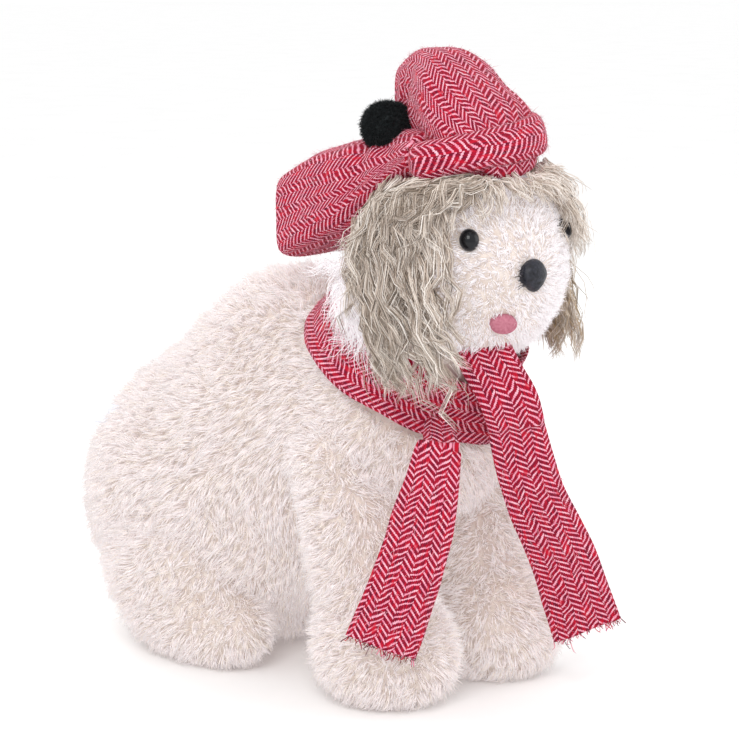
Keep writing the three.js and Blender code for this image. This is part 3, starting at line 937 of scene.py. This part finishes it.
def felt_tongue():
    low, high = (0.40, 0.12, 0.17), (0.54, 0.22, 0.28)
    felt = grained("pink_felt", low, high, 700, 0.95, 0.6, 0.0005, Specular_IOR_Level=0.2)
    base = on_face(TONGUE_WAY)
    profile = [(0, -1.0), (6.2, -0.8), (7.0, 0.8), (7.0, 2.2), (6.4, 3.0), (4.4, 3.4), (2.2, 3.5), (0, 3.5)]
    stretch, side = (0.95, 0.68), (0.25, 0, 1)
    turned("tongue_felt", profile, base, TONGUE_WAY, felt, "tongue", stretch, side)


def pom_pom(rng):
    wool = grained("pom_core", (0.002, 0.004, 0.005), (0.012, 0.018, 0.02), 700, 0.95, 0.8, 0.001)
    points, faces = sphere(5)
    squash = np.array([1.06, 1.0, 0.94])
    core = POM + points * (POM_R - 1.1) * squash
    core += points * noise(core, 4, 8)[:, None] * 0.5
    make("pom_pom_core", core, faces, wool, "head", hides=["pom_pom"])
    place, way = scattered(core, faces, 5.5, rng)
    lines, radii = pile(place, way, rng, 1.9, np.array([0.2, 0, -1.0]), 0.2, 4, 0.3, 0.2, wild=0.3)
    tints = [(0.001, 0.003, 0.004), (0.003, 0.006, 0.008), (0.012, 0.017, 0.019)]
    black = shades("pom_wool", tints, roughness=1.0)
    strand_piece("pom_pom_pile", lines, radii, black, "head", rng, weights=(0.5, 0.38, 0.12))


# ---- plush
DOWN_AND_BACK = np.array([0.0, 0.35, -1.0])


def neck_height(p):
    return (p - HEAD) @ NECK_AXIS


def neck_radius(p):
    along = neck_height(p)
    return np.linalg.norm(p - HEAD - along[:, None] * NECK_AXIS, axis=1)


def torso_field(p):
    body = blended(
        26,
        egg(from_head(0, 145, -126), [76, 80, 69.5]),
        egg(from_head(0, 99, -85), [58.5, 62, 69], -0.5),
        egg(from_head(0, 32, -74), [45, 42, 46]),
    )(p)
    seat = np.minimum(neck_height(p) + 58.4, neck_radius(p) - 44.2)
    return np.maximum(body, seat)


def front_leg_field(side):
    pivot = hinge("foreleg_R_bend" if side == RIGHT else "foreleg_L_bend")
    paw = from_head(side * 33, 13, -172)
    return blended(
        10,
        limb(pivot, paw, 23, 22),
        egg(from_head(side * 33, 13, -174), [27, 31, 24.5]),
    )


def hind_leg_field(side):
    return blended(
        12,
        egg(from_head(side * 52, 121, -178), [21, 41, 20]),
        egg(from_head(side * 54, 138, -152), [26, 40, 34]),
    )


def plush_piece(name, field, heart, level, lift, body, hidden):
    """The woven backing of a plush part, a little uneven."""
    points, faces = star(field, heart, level)
    points = points + normals(points, faces) * (lift + noise(points, 15, 2)[:, None] * 0.9)
    points[:, 2] = np.maximum(points[:, 2], 0.3)
    make(name, points, faces, PLUSH_SKIN_PAINTED_SHADE, body, hides=hidden)
    return points, faces


def plush_pieces(name, pieces, order_by, lines, radii, tint, mix, body, rng):
    """Strands as one plush piece, or as several that divide them in order."""
    order = np.argsort(order_by, kind="stable")
    for k, part in enumerate(np.array_split(order, pieces)):
        tag = f"{name}_{k + 1}" if pieces > 1 else name
        strand_piece(tag, lines[part], radii[part], tint, body, rng, mix)


def fur(name, points, faces, density, rng, body, keep=None, pieces=1, length=7.0, tuft=12):
    place, way = scattered(points, faces, density, rng, keep)
    lines, radii = pile(place, way, rng, length, DOWN_AND_BACK, 0.48, tuft, 0.4, STRAND_R)
    plush_pieces(name, pieces, place[:, 1], lines, radii, PLUSH, PLUSH_MIX, body, rng)


def plush_body(rng):
    limbs = [field(side) for field in (front_leg_field, hind_leg_field) for _, side in SIDES]

    def torso_keep(place, way):
        under_scarf = (neck_height(place) > -62) & (neck_radius(place) < 55)
        inside = np.minimum.reduce([field(place) for field in limbs]) < -2.5
        return ~under_scarf & ~inside

    heart = from_head(0, 96, -96)
    hidden = ["torso_skin", "torso_stuffing"]
    points, faces = plush_piece("torso_plush", torso_field, heart, 6, 1.0, "torso", hidden)
    fur("torso_fur", points, faces, 0.86, rng, "torso", torso_keep, pieces=4)
    for tag, side in SIDES:
        legs = (
            ("front_leg", front_leg_field(side), from_head(side * 33, 28, -135), f"foreleg_{tag}", 3, 6.2),
            ("hind_leg", hind_leg_field(side), from_head(side * 54, 130, -166), "torso", 2, 5.8),
        )
        for leg, field, heart, body, depth, length in legs:
            hidden = [f"{leg}_{tag}", f"{leg}_stuffing_{tag}"]
            points, faces = plush_piece(f"{leg}_plush_{tag}", field, heart, 5, 0.8, body, hidden)

            def outside_torso(place, way, depth=depth):
                return torso_field(place) > -depth

            fur(f"{leg}_fur_{tag}", points, faces, 0.86, rng, body, outside_torso, length=length)
    pivot = hinge("tail_wag")
    tip = from_head(0, 235, -118)
    field = limb(pivot, tip, 9, 8)
    points, faces = plush_piece("tail_plush", field, (pivot + tip) / 2, 4, 0.4, "tail_stub", ["tail"])
    fur("tail_fur", points, faces, 0.9, rng, "tail_stub", length=5.5, tuft=7)


# ---- head
CAP_TILT = math.radians(27)
CAP_AXIS = np.array([0.0, math.sin(CAP_TILT), math.cos(CAP_TILT)])
CAP_EDGE = 30  # the beret's edge, from the head's centre along its axis


def head(rng):
    points, faces = star(HEAD_FIELD, HEAD, 6)
    way = normals(points, faces)
    points = points + way * (0.6 + noise(points, 7, 2)[:, None] * 0.5)
    hidden = ["head_skin", "head_stuffing"]
    make("head_plush", points, faces, PLUSH_SKIN_PAINTED_SHADE, "head", hides=hidden)

    def open_face(place, way):
        bare = [(toward, 4.4) for toward in EYE_WAYS.values()] + [(NOSE_WAY, 5.6), (TONGUE_WAY, 5.4)]
        free = (place - HEAD) @ CAP_AXIS <= CAP_EDGE
        for toward, reach in bare:
            free &= np.linalg.norm(place - on_face(toward), axis=1) > reach
        return free

    place, way = scattered(points, faces, 1.15, rng, open_face)
    from_nose = place - from_head(0, -46, -1)
    lines, radii = pile(place, way, rng, 3.4, from_nose, 0.6, 8, 0.5, STRAND_R * 0.85, wild=0.2)
    plush_pieces("head_pile", 2, place[:, 0], lines, radii, FACE, FACE_MIX, "head", rng)

    place, way = scattered(points, faces, 1.05, rng, nape)
    comb = np.array([0, 0.25, -1.0])
    lines, radii = pile(place, way, rng, 19.0, comb, 0.95, 18, 0.55, STRAND_R * 0.9, steps=6, wild=0.14)
    lines += curls(lines, 1.5, 10.0)
    plush_pieces("nape_fur", 2, place[:, 0], lines, radii, FACE, FACE_MIX, "head", rng)


def nape(place, way):
    """Where the longer fur behind the ears grows."""
    at = place - HEAD
    return (at[:, 1] > 0) & (at[:, 2] < 2) & (at[:, 2] > -31)


def curls(lines, size_mm, wave):
    """Sideways waves along strands, none at the root."""
    t = np.linspace(0, 1, lines.shape[1])[None, :, None]
    phase = noise(lines[:, 0], 8, 61)[:, None, None] * 6
    long = np.linalg.norm(lines[:, -1] - lines[:, 0], axis=1)[:, None, None]
    axis = unit(lines[:, -1] - lines[:, 0])
    side = unit(np.cross(axis, noise_vector(lines[:, 0], 12, 71) + (0.01, 0, 0)))
    other = np.cross(axis, side)
    turn = t * long / wave * 2 * math.pi + phase
    return size_mm * smooth(t * 1.6) * (side[:, None] * np.sin(turn) + other[:, None] * np.cos(turn))


NECK_FOOT = -57  # the flat end of the neck, from the head's centre along its axis


def neck():
    """The plush between the head and the torso."""
    field = limb(HEAD - NECK_AXIS * 70, HEAD - NECK_AXIS * 22, 40, 40)
    points, faces = star(field, HEAD - NECK_AXIS * 46, 5)
    height = neck_height(points)
    low = height < NECK_FOOT
    points[low] -= np.multiply.outer(height[low] - NECK_FOOT, NECK_AXIS)
    points += noise_vector(points, 9, 3) * 0.5
    hidden = ["neck_gusset", "neck_core"]
    make("neck_plush", points, faces, PLUSH_SKIN_PAINTED_SHADE, "neck", hides=hidden)


# ---- hair
FLYAWAY_SHARE = 0.09  # strands that stand away from their lock
CLEAR_OF_HEAD = 47.5
CLEAR_OF_SCARF = 53  # least radius of the hair round the neck


def locks(roots, middles, tips, count, strands, rng, reach=(0.6, 1.08), fullness=7.0, curl=3.6, lock_r=2.3):
    """Curling locks from a line of roots, past a line of middles, towards a line of tips."""
    amount = max(6, int(count * (1)))
    share = (np.arange(amount) + rng.random(amount)) / amount
    t = np.linspace(0, 1, 11)
    lift = rng.random(amount) ** 1.3
    start, middle, end = (
        HEAD + (catmull(line, share) + rng.normal(size=(amount, 3)) * spread)
        for line, spread in ((roots, 1.3), (middles, 2.6), (tips, 4.2))
    )
    run = t[None] * rng.uniform(*reach, amount)[:, None]
    r = run[..., None]
    spine = (
        start[:, None] * (1 - r) * (1 - 2 * r)
        + middle[:, None] * 4 * r * (1 - r)
        + end[:, None] * r * (2 * r - 1)
    )
    outward = unit(spine - HEAD)
    spine = spine + outward * (lift[:, None] * fullness * smooth(run * 2.2))[..., None]
    way = unit(np.gradient(spine, axis=1))
    side = unit(np.cross(way, outward))
    other = np.cross(way, side)
    long = np.cumsum(np.linalg.norm(np.diff(spine, axis=1, prepend=spine[:, :1]), axis=2), axis=1)
    period = rng.uniform(15, 30, amount)[:, None]
    phase = rng.random(amount)[:, None] * 2 * math.pi
    turn = long / period * 2 * math.pi + phase
    size_mm = (curl * rng.uniform(0.5, 1.25, amount))[:, None] * smooth(run * 1.8)
    spine = beside(spine, side, size_mm * np.sin(turn), other, 0.7 * size_mm * np.cos(turn))
    angle = rng.random((amount, strands)) * 2 * math.pi
    ring = np.sqrt(rng.random((amount, strands))) * lock_r * rng.uniform(0.6, 1.25, (amount, 1))
    profile = np.interp(t, [0, 0.25, 0.6, 1], [0.8, 1.0, 0.7, 0.22])
    twist = angle[:, :, None] + long[:, None] * rng.uniform(-0.16, 0.16, (amount, 1, 1))
    loose = ring[:, :, None] * profile
    lines = beside(
        spine[:, None], side[:, None], loose * np.cos(twist), other[:, None], loose * np.sin(twist)
    ).reshape(-1, len(t), 3)
    lines = lines + rng.normal(size=(len(lines), 1, 3)) * (t**1.5)[None, :, None] * 0.9
    flyaway = rng.random(len(lines)) < FLYAWAY_SHARE
    lines[flyaway] += rng.normal(size=(flyaway.sum(), 1, 3)) * (t**1.4)[None, :, None] * 4.5
    return clear_of_neighbours(lines)


def clear_of_neighbours(lines):
    """Pushes strands out of the head and out of the scarf round the neck."""
    flat = lines.reshape(-1, 3)
    away = flat - HEAD
    far = np.linalg.norm(away, axis=1)
    flat = HEAD + away * (np.maximum(far, CLEAR_OF_HEAD) / far)[:, None]
    along = neck_height(flat)
    out = flat - HEAD - along[:, None] * NECK_AXIS
    radius = np.linalg.norm(out, axis=1)
    beside = smooth((-along - 24) / 8) * smooth((along + 64) / 5)
    wanted = np.maximum(radius, radius + (CLEAR_OF_SCARF - radius) * beside)
    flat = flat + out * ((wanted / radius) - 1)[:, None]
    return flat.reshape(lines.shape)


EAR = (
    [(-33, -24, 32), (-37, -8, 36), (-43, 0, 28), (-45, 10, 18), (-44, 20, 9)],
    [(-47, -36, -10), (-52, -28, -14), (-54, -16, -16), (-54, -10, -18), (-53, -4, -20)],
    [(-45, -48, -30), (-48, -44, -44), (-53, -28, -52), (-55, -16, -50), (-54, -8, -41)],
)
CROWN = (
    [(-29, -14, 40), (-32, 0, 37), (-30, 15, 35), (-31, 26, 24), (-32, 33, 10)],
    [(-46, -15, 20), (-49, -3, 16), (-49, 6, 10), (-49, 10, 4), (-48, 13, -3)],
    [(-50, -22, -8), (-54, -10, -12), (-55, -2, -14), (-54, 3, -17), (-52, 6, -19)],
)
SWEPT = (
    [(-10, -34, 39), (-20, -28, 40), (-29, -19, 40), (-34, -6, 38)],
    [(-34, -32, 28), (-42, -21, 26), (-46, -8, 22), (-48, 4, 16)],
    [(-50, -18, 2), (-53, -6, 0), (-54, 3, -2), (-52, 10, -6)],
)
FAR_SIDE = (
    [(16, -31, 40), (24, -26, 41), (30, -19, 41), (34, -8, 40)],
    [(26, -37, 28), (31, -33, 25), (36, -25, 22), (40, -13, 18)],
    [(25, -41, 8), (31, -36, 4), (36, -28, -2), (41, -16, -8)],
)


def mirrored(line):
    """The same line on the far side, drawn in towards the head and back, most of all in front."""
    front_to_back = (-40, 5)
    return [
        (-x * np.interp(y, front_to_back, (0.80, 0.98)), y + np.interp(y, front_to_back, (16, 3)), z)
        for x, y, z in line
    ]


def hair_radii(lines, width, rng):
    """Each strand's radius along it, thinner towards the tip."""
    taper = np.linspace(1, 0.5, lines.shape[1] - 1)[None]
    return width * (0.65 + 0.6 * rng.random((len(lines), 1))) * taper


FLAP_REACH = (47.6, 50.4)  # the ear's cloth, from the head's centre


def hair(rng):
    for tag, side in SIDES:
        if side == RIGHT:
            parts = [
                locks(*EAR, 105, 12, rng),
                locks(*CROWN, 60, 12, rng),
                locks(*SWEPT, 42, 12, rng, reach=(0.55, 1.0), fullness=9),
            ]
        else:
            low, high, swept = ([mirrored(line) for line in guide] for guide in (EAR, CROWN, SWEPT))
            parts = [
                locks(*low, 95, 11, rng, reach=(0.55, 0.92), fullness=3, curl=2.8),
                locks(*high, 60, 11, rng, fullness=4, curl=2.8),
                locks(*swept, 34, 11, rng, reach=(0.55, 1.0), fullness=4, curl=2.8),
            ]
        lines = np.concatenate(parts)
        radii = hair_radii(lines, 0.28, rng)
        tint, mix = (HAIR_AND_PAINTED_SHADE, HAIR_AND_PAINTED_SHADE_MIX) if side == RIGHT else (FAR_HAIR, FAR_HAIR_MIX)
        obj = strand_piece(f"ear_hair_{tag}", lines, radii, tint, None, rng, mix)
        pivot = hinge(f"ear_{tag}_lift")
        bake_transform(obj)
        middle = centre(f"ear_{tag}")
        half = size(f"ear_{tag}") / 2
        flap, faces = star(egg(middle, half * (0.6, 0.74, 0.8)), middle, 5)
        flap = flap + noise_vector(flap, 8, 51) * 1.2
        reach = np.linalg.norm(flap - HEAD, axis=1)
        flap = HEAD + (flap - HEAD) * (np.clip(reach, *FLAP_REACH) / reach)[:, None]
        body = f"ear_flap_{tag}"
        make(f"ear_backing_{tag}", flap, faces, HIDE, body, hides=[f"ear_{tag}"])
    fringe(rng)


BROW = (
    [(-36, -4, 36), (-31, -16, 37), (-23, -27, 38), (-10, -34, 38)]
    + [(6, -35, 39), (20, -29, 41), (30, -18, 42), (36, -4, 40)],
    [(-46, -12, 20), (-42, -26, 22), (-31, -36, 27), (-14, -43, 31)]
    + [(8, -43, 32), (24, -37, 32), (32, -25, 30), (39, -9, 24)],
    [(-50, -20, 0), (-47, -34, 6), (-38, -42, 16), (-20, -46, 25)]
    + [(12, -45, 27), (30, -37, 22), (36, -28, 12), (42, -15, 0)],
)


def fringe(rng):
    """The curls under the rolled edge of the beret, and the band of cloth that they are sewn to."""
    brow = locks(*BROW, 80, 10, rng, reach=(0.35, 0.8), fullness=4.0, curl=2.0, lock_r=1.7)
    beside = locks(*FAR_SIDE, 62, 10, rng, reach=(0.7, 1.05), fullness=3.0, curl=2.2, lock_r=1.8)
    lines = np.concatenate([brow, beside])
    radii = hair_radii(lines, 0.26, rng)
    obj = strand_piece("forehead_curls", lines, radii, BROW_HAIR, "head", rng, BROW_HAIR_MIX)
    band, faces = star(egg(HEAD, [46.2] * 3), HEAD, 5)
    height = (band - HEAD) @ CAP_AXIS
    kept = faces[((height[faces] > 14) & (height[faces] < 40)).all(1)]
    used = np.unique(kept)
    renumber = np.zeros(len(band), int)
    renumber[used] = np.arange(len(used))
    outer = band[used] + noise_vector(band[used], 6, 12) * 0.4
    inner = HEAD + (outer - HEAD) * 0.985
    both = np.concatenate([outer, inner])
    flat = renumber[kept]
    edges = np.concatenate([flat[:, [0, 1]], flat[:, [1, 2]], flat[:, [2, 0]]])
    _, first, times = np.unique(np.sort(edges, axis=1), axis=0, return_index=True, return_counts=True)
    a, b = edges[first[times == 1]].T
    count = len(used)
    walls = [np.stack([b, a, a + count], 1), np.stack([b, a + count, b + count], 1)]
    faces = np.concatenate([flat, flat[:, ::-1] + count, *walls])
    make("forehead_backing", both, faces, HIDE, "head", hides=["forehead_hair"])


def label():
    """A small blank label that stands out of the side seam."""
    satin = grained("label_satin", (0.80, 0.84, 0.93), (0.88, 0.91, 0.97), 400, 0.45, 0.2, 0.0002)
    middle = centre("sewn_label")
    out = unit(np.array([-46.0, 72, 6]))
    up = unit(np.cross(out, [0, 0, 1.0]))
    tall = np.cross(up, out)
    columns, rows = 15, 11
    grid_u, grid_v = np.meshgrid(np.linspace(-1, 1, columns), np.linspace(-1, 1, rows), indexing="ij")
    curl = 0.9 * (grid_u + 1) ** 2 / 2
    sheet = middle + grid_u[..., None] * out * 7.5 + grid_v[..., None] * tall * 5 + curl[..., None] * up
    flat = sheet.reshape(-1, 3)
    points = np.concatenate([flat + up * 0.25, flat - up * 0.25])
    index = np.arange(len(flat)).reshape(columns, rows)
    top = cell_corners(index, BACKWARD).reshape(-1, 4)
    rim = np.concatenate([index[:, 0], index[-1, 1:], index[-2::-1, -1], index[0, -2:0:-1]])
    after = np.roll(rim, -1)
    wall = np.stack([after, rim, rim + len(flat), after + len(flat)], -1)
    faces = np.concatenate([top, top[:, ::-1] + len(flat), wall])
    obj = make("label_sheet", points, faces, satin, "torso", hides=["sewn_label"])


def small_parts():
    """The washers and the stitch keep their shape, in their own materials."""
    washer = grained("washer_plastic", (0.75, 0.75, 0.73), (0.86, 0.86, 0.84), 120, 0.45, 0.1, 0.0001)
    thread = grained("black_thread", (0.01, 0.01, 0.012), (0.03, 0.03, 0.034), 900, 0.7, 0.5, 0.0003)
    for node, material in (
        ("nose_washer", washer),
        ("eye_washer_R", washer),
        ("eye_washer_L", washer),
        ("pom_pom_stitch", thread),
    ):
        mesh = bpy.data.objects[node].data
        mesh.materials.clear()
        mesh.materials.append(material)


# ---- the picture
def camera_and_light():
    azimuth, elevation = math.radians(-42), math.radians(10)
    level = np.array([math.sin(azimuth), -math.cos(azimuth), 0]) * math.cos(elevation)
    back = level + (0, 0, math.sin(elevation))
    target = from_head(-12.7, 46, -51)
    data = bpy.data.cameras.new("camera")
    data.lens, data.sensor_width = 120, 36
    data.clip_start, data.clip_end = 0.05, 30
    camera = bpy.data.objects.new("camera", data)
    bpy.context.scene.collection.objects.link(camera)
    camera.location = (target + back * 1120) * MM
    camera.rotation_euler = Vector(-back).to_track_quat("-Z", "Y").to_euler()
    bpy.context.scene.camera = camera

    world = bpy.data.worlds.new("studio")
    world.use_nodes = True
    world.node_tree.nodes["Background"].inputs[0].default_value = (1, 1, 1, 1)
    world.node_tree.nodes["Background"].inputs[1].default_value = 1.05
    bpy.context.scene.world = world
    lamps = (
        ("key", (-0.95, -0.75, 1.05), 0.7, 8.0, (1.0, 0.985, 0.97)),
        ("fill", (0.9, -0.9, 0.5), 0.9, 2.6, (1.0, 0.99, 0.98)),
        ("rim", (0.25, 1.0, 0.9), 0.8, 4.0, (1.0, 1.0, 1.0)),
    )
    for name, place, width, power, colour in lamps:
        light = bpy.data.lights.new(name, "AREA")
        light.size, light.energy, light.color = width, power, colour
        lamp = bpy.data.objects.new(name, light)
        lamp.location = place
        aim = Vector((0, 0, 0.13)) - lamp.location
        lamp.rotation_euler = aim.to_track_quat("-Z", "Y").to_euler()
        bpy.context.scene.collection.objects.link(lamp)
    paper = grained("pale_floor", (0.93, 0.93, 0.93), (0.96, 0.96, 0.96), 12, 0.9, 0.02, 0.0001)
    half = 9000.0
    corners = np.array([(-half, -half, 0), (half, -half, 0), (half, half, 0), (-half, half, 0)])
    floor = make("floor", corners - (0, 0, 0.2), np.array([(0, 1, 2, 3)]), paper, None)
    bpy.context.scene.view_settings.view_transform = "Standard"


rng = np.random.default_rng(2611)
beret(rng)
scarf_loop(rng)
scarf_tails(rng)
eyes()
nose_and_fibres(rng)
felt_tongue()
pom_pom(rng)
plush_body(rng)
neck()
head(rng)
hair(rng)
label()
small_parts()
camera_and_light()
